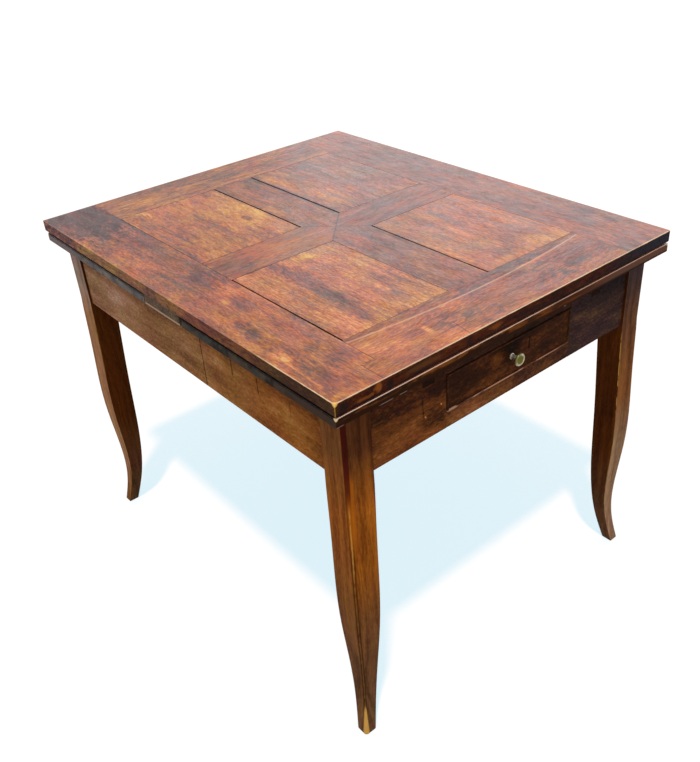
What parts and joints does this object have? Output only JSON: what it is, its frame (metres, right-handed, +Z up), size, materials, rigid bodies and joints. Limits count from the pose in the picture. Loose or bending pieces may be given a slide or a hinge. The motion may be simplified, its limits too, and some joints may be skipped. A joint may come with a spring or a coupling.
{
  "type": "draw-leaf extending table",
  "caption": "Rustic wooden draw-leaf table on curved legs: framed loose top, end leaves that pull out on bearers, and a beaded drawer with a brass knob.",
  "frame": {"origin": "on the floor, under the middle of the closed top", "axes": "+Z up; Y along the length, the way the leaves pull out, with the drawer end at -Y; X across the width"},
  "size_m": [0.823, 0.997, 0.78],
  "materials": {
    "top_frame_wood": "satin varnish, worn",
    "panel_wood": "satin varnish, worn",
    "leaf_wood": "satin varnish, worn",
    "leg_wood": "satin varnish",
    "apron_wood": "satin varnish",
    "inner_wood": "bare, aged",
    "peg_wood": "bare, aged",
    "knob_brass": "dull, tarnished",
    "screw_steel": "dull"
  },
  "bodies": {
    "frame": {"centre_board": "leaf_wood", "centre_board_screws": "screw_steel", "centre_rail": "inner_wood", "corner_block_far_left": "inner_wood", "corner_block_far_right": "inner_wood", "corner_block_near_left": "inner_wood", "corner_block_near_right": "inner_wood", "corner_block_screws": "screw_steel", "drawer_apron_left": "apron_wood", "drawer_apron_right": "apron_wood", "drawer_kicker_left": "inner_wood", "drawer_kicker_right": "inner_wood", "drawer_rail_lower": "apron_wood", "drawer_rail_upper": "apron_wood", "drawer_runner_left": "inner_wood", "drawer_runner_right": "inner_wood", "drawer_stops": "inner_wood", "far_apron": "apron_wood", "left_apron_far": "apron_wood", "left_apron_near": "apron_wood", "leg_far_left": "leg_wood", "leg_far_right": "leg_wood", "leg_near_left": "leg_wood", "leg_near_right": "leg_wood", "right_apron": "apron_wood"},
    "near_leaf": {"near_leaf_bearer_left": "inner_wood", "near_leaf_bearer_right": "inner_wood", "near_leaf_inner_board": "leaf_wood", "near_leaf_outer_board": "leaf_wood", "near_leaf_screws": "screw_steel", "near_leaf_stop_pegs": "peg_wood"},
    "far_leaf": {"far_leaf_bearer_left": "inner_wood", "far_leaf_bearer_right": "inner_wood", "far_leaf_inner_board": "leaf_wood", "far_leaf_outer_board": "leaf_wood", "far_leaf_screws": "screw_steel", "far_leaf_stop_pegs": "peg_wood"},
    "top": {"top_end_rail_far": "top_frame_wood", "top_end_rail_near": "top_frame_wood", "top_guide_pegs": "peg_wood", "top_mid_rail_left": "top_frame_wood", "top_mid_rail_right": "top_frame_wood", "top_muntin_far": "top_frame_wood", "top_muntin_near": "top_frame_wood", "top_panel_far_left": "panel_wood", "top_panel_far_right": "panel_wood", "top_panel_near_left": "panel_wood", "top_panel_near_right": "panel_wood", "top_retaining_pins": "peg_wood", "top_stile_left": "top_frame_wood", "top_stile_right": "top_frame_wood"},
    "drawer": {"drawer_back": "inner_wood", "drawer_bottom": "inner_wood", "drawer_cock_beads": "apron_wood", "drawer_front": "apron_wood", "drawer_knob": "knob_brass", "drawer_side_left": "inner_wood", "drawer_side_right": "inner_wood", "knob_screw": "screw_steel"}
  },
  "joints": [
    {"name": "near_leaf_slide", "type": "slide", "parent": "frame", "child": "near_leaf", "axis": [0, -1, 0], "range_m": [0, 0.406]},
    {"name": "far_leaf_slide", "type": "slide", "parent": "frame", "child": "far_leaf", "axis": [0, 1, 0], "range_m": [0, 0.413]},
    {"name": "top_lift", "type": "slide", "parent": "frame", "child": "top", "axis": [0, 0, 1], "range_m": [0, 0.03]},
    {"name": "drawer_slide", "type": "slide", "parent": "frame", "child": "drawer", "axis": [0, -1, 0], "range_m": [0, 0.3]}
  ]
}
